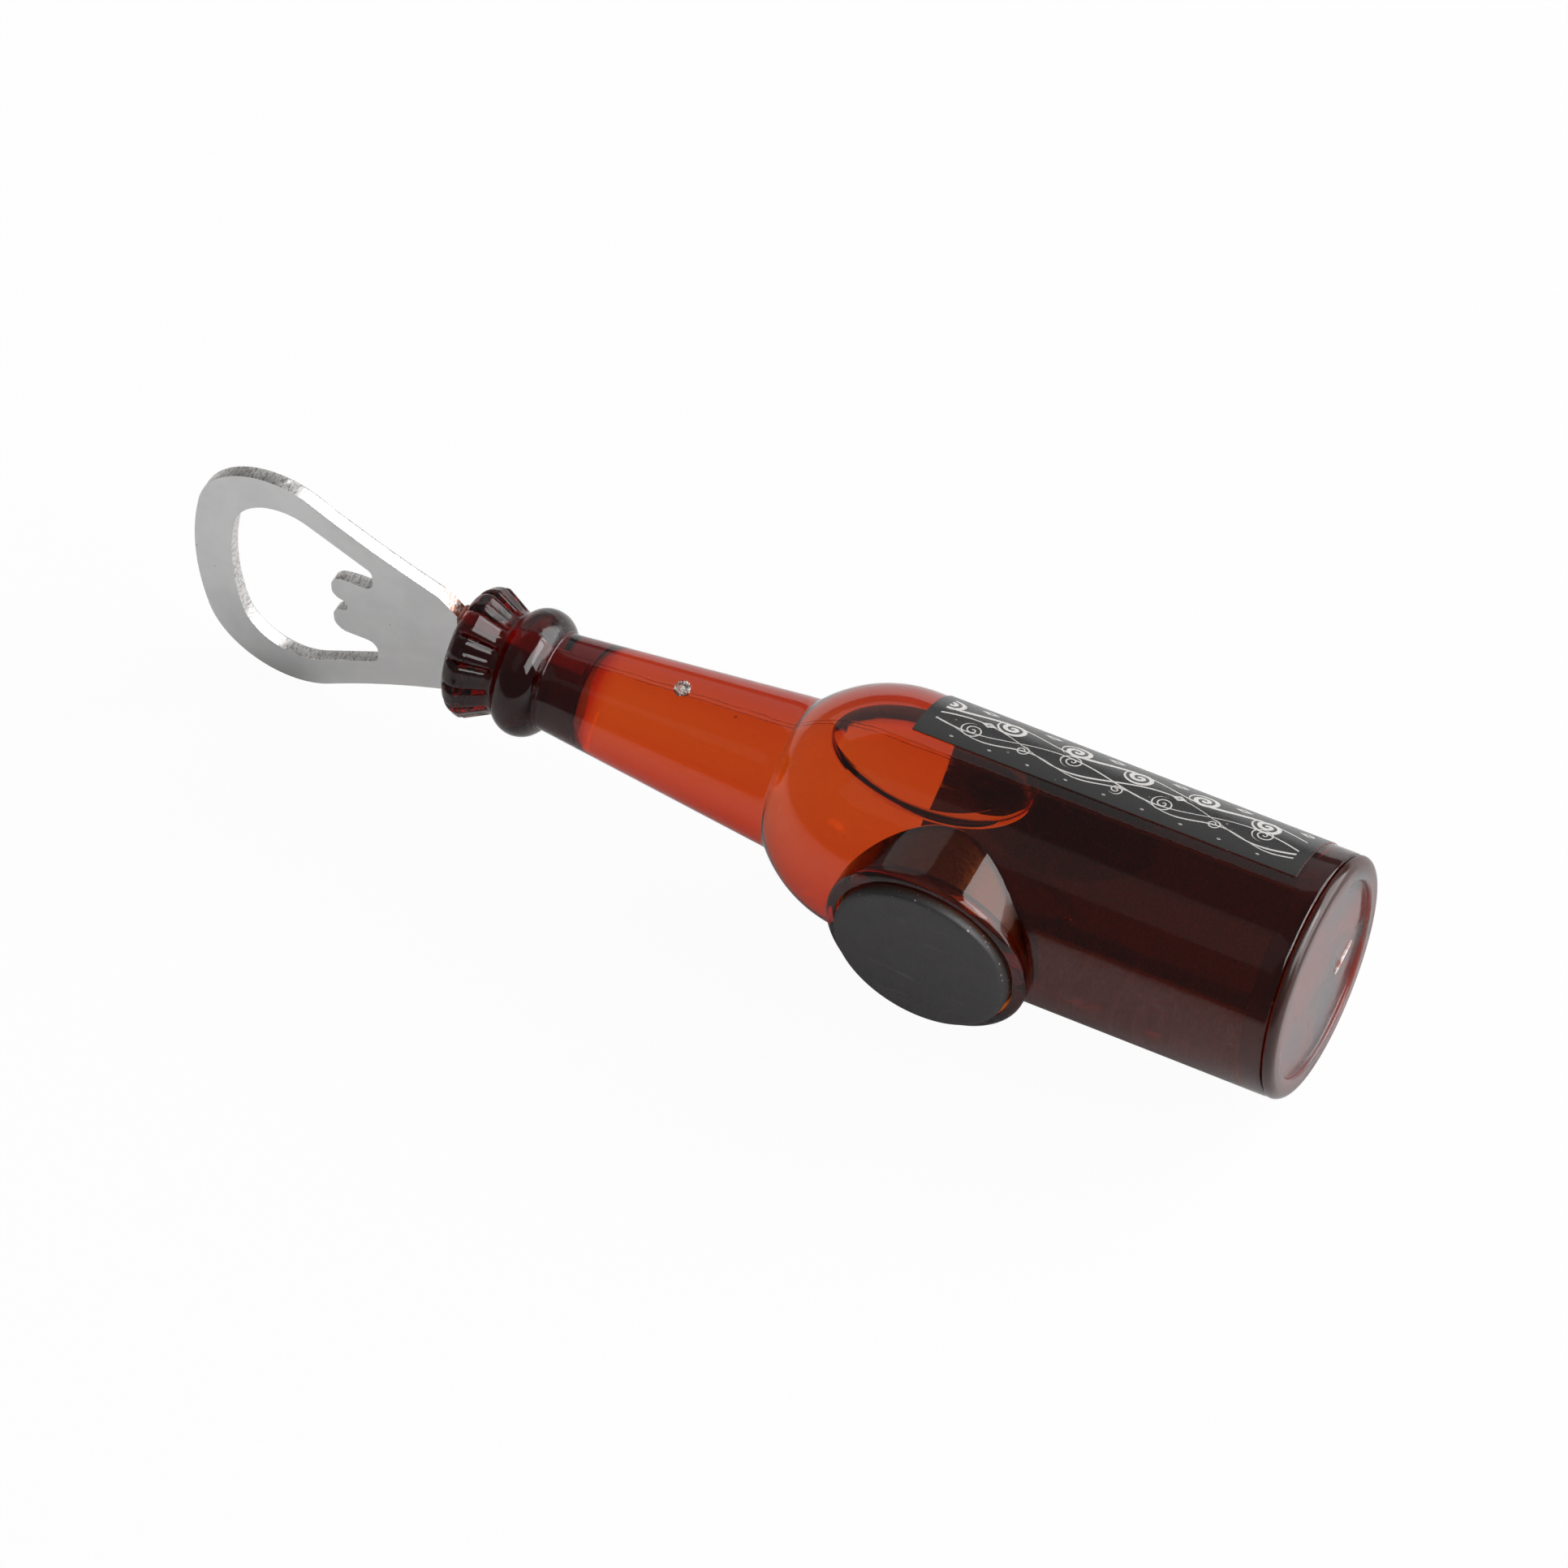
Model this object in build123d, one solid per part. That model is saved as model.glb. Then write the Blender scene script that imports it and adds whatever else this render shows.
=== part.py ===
from build123d import *
from math import asin, atan2, cos, degrees, hypot, radians, sin
import os

# Souvenir bottle opener: a small amber bottle, filled and sealed, with a steel opener blade
# glued into its mouth and a round magnet on its side. Sizes in millimetres.
# The bottle lies along X with the blade's plane upright. The origin is the centre of the
# magnet's outer face: -Y points out of the magnet, +X towards the bottle's base, +Z up.
# "Distance" is measured along the bottle's axis, from the base joint towards the blade's tip.

# Bottle body and shoulder
body_radius = 12.0
body_wall = 1.1
body_length = 43.4
shoulder_length = 10.1

# Neck, a cone whose far end is solid round the blade's tang
neck_length = 27.8
neck_root_radius = 7.5
neck_tip_radius = 4.55
neck_wall = 1.1
neck_end_wall = 2.15

# Bead under the cap, a full round ring
bead_round = 2.54
bead_radius = 6.35

# Fluted cap end
cap_root_radius = 5.2
cap_skirt_length = 2.6
cap_rim_radius = 6.57
cap_round = 1.96
flute_count = 14
flute_radius = 0.9
flute_depth = 0.22

# Magnet, its glue and the boss that holds it
magnet_station = 33.7
magnet_radius = 8.9
magnet_thickness = 2.4
magnet_edge = 0.3
magnet_proud = 1.05
magnet_glue_bed = 0.15
magnet_glue_gap = 0.3
magnet_glue_rise = 0.8
boss_wall = 1.1
boss_edge_round = 0.8

# Base plug
flange_thickness = 1.1
flange_round = 0.9
flange_recess_radius = 9.8
flange_recess_depth = 0.55
spigot_length = 2.5
spigot_clearance = 0.05

# Filling and its air bubble
filling_clearance = 0.03
bubble_set_back = 4.5
bubble_half_length = 10.2
bubble_half_width = 5.9
bubble_depth = 2.6

# Label, wrapped round the side away from the magnet
label_thickness = 0.1
label_glue = 0.02
label_base_margin = 2.9
label_shoulder_margin = 1.4
label_start_angle = 6.0
label_wrap_angle = 161.0

# Opener blade: ring
blade_thickness = 1.5
blade_back_round = 0.3
ring_tip_reach = 28.9
ring_tip_width = 4.0
ring_corner_set_back = 9.3
ring_corner_offset = 6.0
ring_corner_radius = 8.6
ring_flank_angle = 31.0

# Opener blade: shank and tang
shank_reach = 2.2
shank_half_width = 7.0
shank_foot_half_width = 4.75
tang_depth = 13.0
tang_root_half_width = 4.2
tang_end_half_width = 3.2
tang_glue_gap = 0.15
tang_glue_width = 0.35
tang_glue_height = 0.4

# Opener blade: opening and the tab that lifts a bottle cap
opening_start_reach = 9.4
opening_corner_set_back = 6.25
opening_corner_offset = 5.08
opening_corner_radius = 5.7
opening_root_half_width = 6.7
opening_root_round = 0.8
tab_length = 4.6
tab_tip_thickness = 1.0
tab_half_width = 3.95
tab_root_round = 1.1
tab_tip_round = 1.45
tab_notch_depth = 1.6
tab_notch_floor_half_width = 0.6
tab_notch_mouth_half_width = 1.0
tab_notch_floor_round = 0.55
tab_notch_mouth_round = 1.2

# Places worked out from the sizes above
bore_radius = body_radius - body_wall
neck_start = body_length + shoulder_length
neck_end = neck_start + neck_length
bead_distance = neck_end
cap_start = bead_distance + bead_round + 0.2
cap_end = cap_start + cap_skirt_length + cap_round
neck_bore_end = cap_end - tang_depth - tang_glue_gap - neck_end_wall
label_length = body_length - label_base_margin - label_shoulder_margin
pocket_radius = magnet_radius + magnet_glue_gap
pocket_floor = magnet_thickness + magnet_glue_bed
boss_radius = pocket_radius + boss_wall
axis_offset = pocket_floor + body_radius

bottle_axis = Axis((magnet_station, axis_offset, 0), (-1, 0, 0))
side_plane = Plane(origin=(magnet_station, axis_offset, 0), x_dir=(-1, 0, 0), z_dir=(0, 1, 0))
magnet_plane = Plane(origin=(0, 0, 0), x_dir=(1, 0, 0), z_dir=(0, 1, 0))


def turned(edges, sweep=360):
    """Solid of revolution about the bottle's axis, from an outline of distance and radius."""
    return revolve(side_plane * make_face(edges), axis=bottle_axis, revolution_arc=sweep)


def disc(radius, start, end):
    """Round disc on the magnet's axis, between two depths behind the magnet's outer face."""
    return extrude(magnet_plane.offset(start) * Circle(radius), end - start)


def neck_radius(distance):
    """Outer radius of the conical neck at a distance from the base joint."""
    slope = (neck_tip_radius - neck_root_radius) / neck_length
    return neck_root_radius + slope * (distance - neck_start)


def body_outside():
    """Body, shoulder and neck as one solid, without the cap end."""
    shoulder = TangentArc((body_length, body_radius), (neck_start, neck_root_radius), tangent=(1, 0))
    outline = Polyline((neck_start, neck_root_radius), (neck_end, neck_tip_radius), (neck_end, 0),
                       (0, 0), (0, body_radius), (body_length, body_radius))
    return turned([shoulder, outline])


def bead():
    """Round ring between the neck and the cap end."""
    centre = bead_radius - bead_round
    ring = Pos(bead_distance, centre) * Circle(bead_round)
    core = Pos(bead_distance, centre / 2) * Rectangle(2 * bead_round, centre)
    half = Pos(bead_distance, bead_radius) * Rectangle(4 * bead_round, 2 * bead_radius)
    return revolve(side_plane * ((ring + core) & half), axis=bottle_axis)


def cap_flutes():
    """Round grooves down the cap's skirt, between its lobes."""
    lean = degrees(atan2(cap_rim_radius - cap_root_radius, cap_skirt_length))
    from_start = (Align.CENTER, Align.CENTER, Align.MIN)
    groove = Cylinder(flute_radius, 2 * (cap_end - cap_start), align=from_start)
    height = cap_root_radius + flute_radius - flute_depth
    placed = side_plane * Pos(cap_start, height) * Rot(0, 0, lean) * Rot(0, 90, 0) * groove
    return [placed.rotate(bottle_axis, turn * 360 / flute_count) for turn in range(flute_count)]


def cap():
    """Cap end, flaring away from the bead and rounded at its free end."""
    round_start = cap_end - cap_round
    edge = TangentArc((round_start, cap_rim_radius), (cap_end, cap_rim_radius - cap_round), tangent=(1, 0))
    outline = Polyline((cap_end, cap_rim_radius - cap_round), (cap_end, 0), (bead_distance, 0),
                       (bead_distance, cap_root_radius), (cap_start, cap_root_radius),
                       (round_start, cap_rim_radius))
    return turned([edge, outline]) - cap_flutes()


def cavity(clearance, start):
    """Inside of the bottle from a distance onwards, held off its walls by a clearance."""
    end = neck_bore_end - clearance
    body = bore_radius - clearance
    root = neck_root_radius - neck_wall - clearance
    tip = neck_radius(neck_bore_end) - neck_wall - clearance
    shoulder = TangentArc((body_length, body), (neck_start, root), tangent=(1, 0))
    outline = Polyline((neck_start, root), (end, tip), (end, 0), (start, 0), (start, body),
                       (body_length, body))
    return turned([shoulder, outline])


def magnet_boss():
    """Round cup on the body's side, before its pocket is cut."""
    boss = disc(boss_radius, magnet_proud, axis_offset)
    return fillet(boss.edges().group_by(Axis.Y)[0], boss_edge_round)


def tang_slot():
    """Slot for the tang and its glue, cut in from the cap's free end."""
    gap = tang_glue_gap
    slot = Polyline((cap_end, tang_root_half_width + gap), (cap_end, -tang_root_half_width - gap),
                    (cap_end - tang_depth - gap, -tang_end_half_width - gap),
                    (cap_end - tang_depth - gap, tang_end_half_width + gap), close=True)
    return extrude(side_plane * make_face(slot), blade_thickness / 2 + gap, both=True)


def bottle_shell():
    """One moulding: body, shoulder, neck, bead, cap end and magnet boss."""
    solid = body_outside() + bead() + cap() + magnet_boss()
    pocket = disc(pocket_radius, -magnet_proud, pocket_floor)
    return solid - cavity(0, -body_wall) - pocket - tang_slot()


def base_plug():
    """Plug glued into the open end, with a rounded foot rim and a shallow recess."""
    foot = -flange_thickness
    rim = TangentArc((foot + flange_round, body_radius), (foot, body_radius - flange_round), tangent=(-1, 0))
    spigot_radius = bore_radius - spigot_clearance
    outline = Polyline((foot, body_radius - flange_round), (foot, flange_recess_radius),
                       (foot + flange_recess_depth, flange_recess_radius), (foot + flange_recess_depth, 0),
                       (spigot_length, 0), (spigot_length, spigot_radius), (0, spigot_radius),
                       (0, body_radius), (foot + flange_round, body_radius))
    return turned([rim, outline])


def filling():
    """Liquid that fills the bottle, less the bubble that floats against its top."""
    bubble = scale(Sphere(1), (bubble_half_length, bubble_half_width, bubble_depth))
    place = Pos(magnet_station - body_length + bubble_set_back, axis_offset, bore_radius)
    return cavity(filling_clearance, spigot_length + filling_clearance) - place * bubble


def label():
    """Printed wrap on the body, starting just behind its top line."""
    inner = body_radius + label_glue
    outer = inner + label_thickness
    start = label_base_margin
    end = label_base_margin + label_length
    sheet = Polyline((start, inner), (start, outer), (end, outer), (end, inner), close=True)
    return turned([sheet], label_wrap_angle).rotate(bottle_axis, label_start_angle)


def magnet_disc():
    """Ferrite disc with a broken edge on its outer face."""
    magnet = disc(magnet_radius, 0, magnet_thickness)
    return chamfer(magnet.edges().group_by(Axis.Y)[0], magnet_edge)


def magnet_glue():
    """Glue under the magnet, squeezed up round its side."""
    bed = disc(pocket_radius, pocket_floor - magnet_glue_rise, pocket_floor)
    return bed - disc(magnet_radius, 0, magnet_thickness)


def on_circle(centre, offset, radius, lean):
    """Point of a corner's circle where its tangent leans by an angle towards the shank."""
    return centre - radius * sin(radians(lean)), offset + radius * cos(radians(lean))


def side_lean(point, centre, offset, radius):
    """Lean of the straight side from a point to the corner's circle that it runs smoothly into."""
    along = centre - point[0]
    up = offset - point[1]
    return degrees(atan2(up, along) + asin(radius / hypot(along, up)))


def round_end(tip, corner, offset, radius, lean):
    """Upper half of a round end: a shallow arc from its tip, then a corner round to its side."""
    back = tip - corner
    arc_radius = (radius ** 2 - back ** 2 - offset ** 2) / (2 * (radius - back))
    tip_lean = degrees(atan2(offset, arc_radius - back)) - 90
    points = [on_circle(corner, offset, radius, angle) for angle in (tip_lean, (tip_lean + lean) / 2, lean)]
    return [TangentArc((tip, 0), points[0], tangent=(0, 1)), ThreePointArc(*points)]


def mirrored(edges):
    """Closed outline from one half of it and its mirror image across the blade's middle."""
    return edges + [mirror(edge, Plane.XZ) for edge in edges]


def ring_outline():
    """Outside of the blade, tang included."""
    tip = cap_end + ring_tip_reach
    end = round_end(tip, tip - ring_corner_set_back, ring_corner_offset, ring_corner_radius, ring_flank_angle)
    shank = (cap_end + shank_reach, shank_half_width)
    flank = TangentArc(end[-1] @ 1, shank, tangent=end[-1] % 1)
    tang = Polyline(shank, (cap_end, shank_foot_half_width), (cap_end, tang_root_half_width),
                    (cap_end - tang_depth, tang_end_half_width), (cap_end - tang_depth, 0))
    return make_face(mirrored(end + [flank, tang]))


def rounded(face, corners):
    """Round pairs of corners, each given by its place in the upper half and a radius."""
    for (x, y), radius in corners:
        pair = [v for v in face.vertices() if abs(v.X - x) < 1e-3 and abs(abs(v.Y) - y) < 1e-3]
        face = fillet(pair, radius)
    return face


def opening_outline():
    """Opening of the ring, with the tab standing into it from the shank's side."""
    start = cap_end + opening_start_reach
    end = cap_end + ring_tip_reach - ring_tip_width
    corner = end - opening_corner_set_back
    root = (start, opening_root_half_width)
    lean = side_lean(root, corner, opening_corner_offset, opening_corner_radius)
    far_end = round_end(end, corner, opening_corner_offset, opening_corner_radius, lean)
    tab_root = (start, tab_half_width)
    tab_tip = (start + tab_length, tab_half_width)
    notch_mouth = (start + tab_length, tab_notch_mouth_half_width)
    notch_floor = (start + tab_length - tab_notch_depth, tab_notch_floor_half_width)
    side = Polyline(far_end[-1] @ 1, root, tab_root, tab_tip, notch_mouth, notch_floor, (notch_floor[0], 0))
    return rounded(make_face(mirrored(far_end + [side])), [
        (root, opening_root_round),
        (tab_root, tab_root_round),
        (tab_tip, tab_tip_round),
        (notch_mouth, tab_notch_mouth_round),
        (notch_floor, tab_notch_floor_round),
    ])


def tab_relief():
    """Wedge cut from the tab's back, so that the tab thins towards its tip."""
    start = cap_end + opening_start_reach + tab_root_round
    end = cap_end + opening_start_reach + tab_length
    back = blade_thickness / 2
    wedge = Polyline((start, back), (end, back), (end, tab_tip_thickness - back), close=True)
    level_plane = Plane(origin=side_plane.origin, x_dir=(-1, 0, 0), z_dir=(0, 0, -1))
    return extrude(level_plane * make_face(wedge), tab_half_width, both=True)


def opener_blade():
    """Stamped steel blade: ring, tab, shank and tang, its ring rounded off behind."""
    blade = extrude(side_plane * (ring_outline() - opening_outline()), blade_thickness / 2, both=True)
    ring_start = magnet_station - cap_end - shank_reach
    back = [edge for edge in blade.edges().group_by(Axis.Y)[-1]
            if edge.bounding_box().max.X < ring_start + 0.01]
    return fillet(back, blade_back_round) - tab_relief()


def tang_glue():
    """Glue round the tang, with a small fillet standing on the cap's end."""
    gap = tang_glue_gap
    width = 2 * (shank_foot_half_width + gap + tang_glue_width)
    base = RectangleRounded(blade_thickness + 2 * tang_glue_width, width, tang_glue_width)
    end_plane = Plane(origin=side_plane.from_local_coords((cap_end, 0, 0)), x_dir=(0, 1, 0), z_dir=(-1, 0, 0))
    fillet_ring = extrude(end_plane * base, tang_glue_height)
    return fillet_ring + tang_slot() - opener_blade()


nodes = {
    "bottle_shell": bottle_shell,
    "base_plug": base_plug,
    "liquid_filling": filling,
    "paper_label": label,
    "magnet_disc": magnet_disc,
    "magnet_glue": magnet_glue,
    "opener_blade": opener_blade,
    "tang_glue": tang_glue,
}

os.makedirs("parts", exist_ok=True)
for name, build in nodes.items():
    export_step(build(), f"parts/{name}.step")
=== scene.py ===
from math import atan2, cos, degrees, pi, radians, sin

import bmesh
import bpy
from mathutils import Matrix, Vector


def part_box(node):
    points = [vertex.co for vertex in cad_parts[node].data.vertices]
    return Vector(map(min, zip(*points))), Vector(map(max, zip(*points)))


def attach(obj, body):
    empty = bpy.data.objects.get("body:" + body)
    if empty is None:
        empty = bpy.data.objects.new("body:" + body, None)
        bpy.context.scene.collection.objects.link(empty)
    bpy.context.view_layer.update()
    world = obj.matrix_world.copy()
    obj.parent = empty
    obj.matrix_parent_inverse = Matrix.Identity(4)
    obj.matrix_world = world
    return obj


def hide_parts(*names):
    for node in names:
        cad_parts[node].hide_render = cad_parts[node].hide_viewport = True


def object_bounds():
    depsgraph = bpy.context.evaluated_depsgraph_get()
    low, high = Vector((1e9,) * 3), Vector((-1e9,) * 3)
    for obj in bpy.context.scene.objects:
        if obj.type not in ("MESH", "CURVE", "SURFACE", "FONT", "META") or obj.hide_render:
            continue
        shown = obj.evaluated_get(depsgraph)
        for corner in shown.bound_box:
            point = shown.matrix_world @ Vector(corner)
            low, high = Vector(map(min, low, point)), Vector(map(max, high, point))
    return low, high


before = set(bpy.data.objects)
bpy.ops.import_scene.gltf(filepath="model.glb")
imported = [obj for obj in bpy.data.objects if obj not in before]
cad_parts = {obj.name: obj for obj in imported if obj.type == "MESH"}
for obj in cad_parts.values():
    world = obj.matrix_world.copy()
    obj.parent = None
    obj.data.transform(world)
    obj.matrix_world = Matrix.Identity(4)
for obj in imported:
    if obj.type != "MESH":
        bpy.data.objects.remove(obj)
cad_low, cad_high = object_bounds()

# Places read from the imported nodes, in metres. "Distance" runs along the bottle's axis, in
# millimetres, from the base joint towards the blade's tip, and turns into X with along().
plug_low, plug_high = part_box("base_plug")
blade_low, blade_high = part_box("opener_blade")
joint_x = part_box("bottle_shell")[1][0]
axis_y = (plug_low[1] + plug_high[1]) / 2
blade_y = (blade_low[1] + blade_high[1]) / 2
MM = 0.001
SIDES = 168
WELD_WITHIN = 0.002 * MM

# Sizes of the bottle, in millimetres, and angles, in degrees
BODY_RADIUS = 12.0
BORE_RADIUS = 10.9
WALL = BODY_RADIUS - BORE_RADIUS
SHOULDER_START = 43.4
SHOULDER_RADIUS = 13.584
SHOULDER_ANGLES = (90, 42.9)
NECK_FILLET = [(53.46, 7.58), (53.57, 7.525), (53.75, 7.475)]
NECK_START = 53.5
NECK_END = 78.62
NECK_ROOT_RADIUS = 7.5
NECK_SLOPE = 0.1061
BORE_END = 75.2
BEAD_CENTRE = (81.3, 3.81)
BEAD_ROUND = 2.54
BEAD_ANGLES = (152, 36)
CAP_START = 84.04
CAP_ROOT_RADIUS = 5.2
CAP_RADIUS = 6.57
CAP_ROUND = 1.96
CAP_END = 88.6
FLUTES = 14
FLUTE_DEPTHS = (0.45, 0.2, 0.05, 0.0, 0.03, 0.055, 0.065)
FLUTED_RADIUS = 6.0

# Sizes of the magnet's boss and pocket, as depths behind the magnet's face and radii
BOSS_RADIUS = 10.3
BOSS_RIM = 1.05
BOSS_ROOT = 12.0
BOSS_EDGE = 0.8
POCKET_RADIUS = 9.2
POCKET_STEP = (2.6, 2.8)
POCKET_WIDENING = 0.5
POCKET_DEPTH = 8.7
CORE_RADIUS = 11.4
CORE_SPAN = (12, 55)

# Sizes of the base plug: its spigot, its foot's face and its recess
SPIGOT_RADIUS = 10.92
FOOT_FACE = -1.1
FOOT_ROUND = 0.9
RECESS_RADIUS = 9.8
RECESS_EDGE = 0.25
RECESS_FLOOR = -0.55

# How far glue and liquid reach into the plastic, so that no gap is left for the light
GLUE_OVERLAP = 0.01
LIQUID_OVERLAP = 0.02
LIQUID_START = 2.46

# The air bubble: its middle, half sizes, level underside and rounded rim
BUBBLE_DISTANCE = 38.9
BUBBLE_HEIGHT = 8.9
BUBBLE_HALF_SIZES = (10.3, 5.15, 4.0)
BUBBLE_LEVEL = 7.6
BUBBLE_RIM = 1.0

# The wrap, its angles turning from the far side towards the top, and the print on it
WRAP_START = 2.9
WRAP_LENGTH = 39.1
WRAP_ROWS = 20
WRAP_INSIDE = 11.99
WRAP_THICKNESS = 0.13
WRAP_ANGLES = (-80.5, 84.5)
PRINT_RADIUS = 12.1
PRINT_MIDDLE_ANGLE = 3.5
PRINT_HALF_LENGTH = 18.3

# The tang's glue and its bead, and the blade's broken edges
TANG_START = 75.5
TANG_GLUE_SIZE = (1.8, 8.7)
TANG_GLUE_TAPER = 0.77
BEAD_OF_GLUE = (CAP_END - 0.45, CAP_END + 0.36)
BEAD_OF_GLUE_SIZE = (2.2, 10.5)
BLADE_EDGE = 0.07

# Gate stubs: where they stand, as distance, across and height, and their radii and height
NECK_GATE = (65.4, 0.05, 6.3)
NECK_GATE_RADIUS = 0.75
FOOT_GATE = (-0.45, 4.9, -2.6)
FOOT_GATE_RADIUS = 0.2
FOOT_GATE_STRETCH = 9.5
FOOT_GATE_TILT = -11
STUB_HEIGHT = 0.5
STUB_SEED = 4


def along(distance):
    """X of a distance from the base joint, both measured along the bottle."""
    return joint_x - distance * MM


def on_bottle(distance, across, height):
    """Place given by its distance, and by how far it is across and above the bottle's axis."""
    return (along(distance), axis_y + across * MM, height * MM)


def arc(centre, radius, start, end, steps):
    """Points of an arc in a turned outline, from one angle to another, in degrees."""
    angles = [radians(start + (end - start) * step / steps) for step in range(steps + 1)]
    return [(centre[0] + radius * cos(angle), centre[1] + radius * sin(angle)) for angle in angles]


def run(start, end, steps):
    """Points of a straight stretch in a turned outline, its first point left out."""
    return [tuple(a + (b - a) * step / steps for a, b in zip(start, end)) for step in range(1, steps + 1)]


def alone(piece):
    """Makes a piece the only selected one, and the active one."""
    bpy.ops.object.select_all(action="DESELECT")
    piece.select_set(True)
    bpy.context.view_layer.objects.active = piece


def open_all(piece):
    """Opens a piece for editing, with all of it selected."""
    alone(piece)
    bpy.ops.object.mode_set(mode="EDIT")
    bpy.ops.mesh.select_all(action="SELECT")


def pick(kind, test):
    """In edit mode, selects only the vertices or faces that pass a test."""
    bpy.ops.mesh.select_mode(type=kind)
    bpy.ops.mesh.select_all(action="DESELECT")
    mesh = bmesh.from_edit_mesh(bpy.context.object.data)
    items = {"VERT": mesh.verts, "FACE": mesh.faces}[kind]
    for item in items:
        if test(item):
            item.select_set(True)
    mesh.select_flush_mode()
    bmesh.update_edit_mesh(bpy.context.object.data)


def settle(piece, name, smooth_angle=35):
    """Names a piece, puts its place into its mesh and smooths it up to an angle."""
    alone(piece)
    piece.name = name
    piece.data.name = name
    bpy.ops.object.transform_apply(location=True, rotation=True, scale=True)
    bpy.ops.object.shade_smooth_by_angle(angle=radians(smooth_angle))
    return piece


def turned(name, outline, across_bottle=False):
    """Closed round piece: a disc extruded from ring to ring, each ring scaled to its radius.
    The outline gives (distance, radius) on the bottle's axis, or (depth, radius) on the magnet's."""
    axis = Vector((0, 1, 0)) if across_bottle else Vector((-1, 0, 0))
    centre = Vector((0, 0, 0)) if across_bottle else Vector((joint_x, axis_y, 0))
    turn = (pi / 2, 0, 0) if across_bottle else (0, pi / 2, 0)
    place, radius = outline[0]
    bpy.ops.object.select_all(action="DESELECT")
    bpy.ops.mesh.primitive_circle_add(vertices=SIDES, radius=radius * MM, fill_type="NGON",
                                      location=centre + axis * place * MM, rotation=turn)
    piece = bpy.context.object
    bpy.ops.object.transform_apply(location=True, rotation=True, scale=True)
    open_all(piece)
    for next_place, next_radius in outline[1:]:
        step = axis * (next_place - place) * MM
        bpy.ops.mesh.extrude_region_move(TRANSFORM_OT_translate={"value": step})
        ratio = next_radius / radius
        grow = (ratio, 1, ratio) if across_bottle else (1, ratio, ratio)
        bpy.ops.transform.resize(value=grow, center_override=centre + axis * next_place * MM)
        place, radius = next_place, next_radius
    bpy.ops.mesh.select_all(action="SELECT")
    bpy.ops.mesh.normals_make_consistent(inside=False)
    bpy.ops.object.mode_set(mode="OBJECT")
    return settle(piece, name)


def combine(piece, other, how):
    """Joins a piece with another or cuts the other from it. The other is used up."""
    alone(piece)
    modifier = piece.modifiers.new(how.lower(), "BOOLEAN")
    modifier.operation = how
    modifier.solver = "EXACT"
    modifier.object = other
    bpy.ops.object.modifier_apply(modifier=modifier.name)
    bpy.data.objects.remove(other)


def round_edges(piece, width, segments, sharper_than=30):
    """Rounds the edges of a piece that are sharper than an angle, by a width in millimetres."""
    bevel = piece.modifiers.new("edge", "BEVEL")
    bevel.width = width * MM
    bevel.segments = segments
    bevel.limit_method = "ANGLE"
    bevel.angle_limit = radians(sharper_than)
    bpy.ops.object.modifier_apply(modifier=bevel.name)


def shoulder(inset, spare):
    """The shoulder's round and the fillet at its foot, drawn in by an inset and out by a spare amount."""
    centre = (SHOULDER_START, BODY_RADIUS - inset - SHOULDER_RADIUS)
    points = arc(centre, SHOULDER_RADIUS + spare, *SHOULDER_ANGLES, 26)[1:]
    return points + [(place, radius - inset + spare) for place, radius in NECK_FILLET]


def body_outline():
    """Outside of the bottle from its base joint to the middle of its cap end."""
    broken_edge = [(0, 11.55), (0.05, 11.76), (0.15, 11.9), (0.27, 11.97), (0.4, BODY_RADIUS)]
    outline = broken_edge + run(broken_edge[-1], (SHOULDER_START, BODY_RADIUS), 40)
    outline += shoulder(0, 0)
    neck_end_radius = NECK_ROOT_RADIUS - NECK_SLOPE * (NECK_END - NECK_START)
    outline += run(outline[-1], (NECK_END, neck_end_radius), 22)
    outline += [(78.8, 4.86), (78.9, 4.97)]
    outline += arc(BEAD_CENTRE, BEAD_ROUND, *BEAD_ANGLES, 20)
    outline += [(83.5, 5.24), (83.7, CAP_ROOT_RADIUS), (CAP_START, CAP_ROOT_RADIUS + 0.03)]
    round_centre = (CAP_END - CAP_ROUND, CAP_RADIUS - CAP_ROUND)
    outline += run(outline[-1], (round_centre[0] - 0.15, 6.5), 7)
    outline += arc(round_centre, CAP_ROUND, 90, 0, 14)
    return outline + [(CAP_END, 3.0), (CAP_END, 0.6)]


def column(vertex):
    """Columns of vertices between a vertex and the nearest flute's middle."""
    turn = degrees(atan2(vertex.co.z, vertex.co.y - axis_y)) - 90
    pitch = 360 / FLUTES
    return round(abs((turn + pitch / 2) % pitch - pitch / 2) * SIDES / 360)


def flute_cap(piece):
    """Draws the cap's flutes in, column by column, deepest in their middles and fading at the end."""
    alone(piece)
    bpy.ops.object.mode_set(mode="EDIT")
    centre = Vector((along(CAP_START), axis_y, 0))
    # Each zone of the cap, from one distance to another, with its share of the flutes' depth
    zones = [(CAP_START - 0.1, 87.3, 1.0), (87.3, 88.0, 0.7), (88.0, 88.42, 0.3)]
    for start, end, share in zones:
        for place, depth in enumerate(FLUTE_DEPTHS):
            pick("VERT", lambda vertex: along(end) < vertex.co.x <= along(start) and column(vertex) == place)
            ratio = 1 - share * depth / FLUTED_RADIUS
            bpy.ops.transform.resize(value=(1, ratio, ratio), center_override=centre)
    bpy.ops.object.mode_set(mode="OBJECT")


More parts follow.
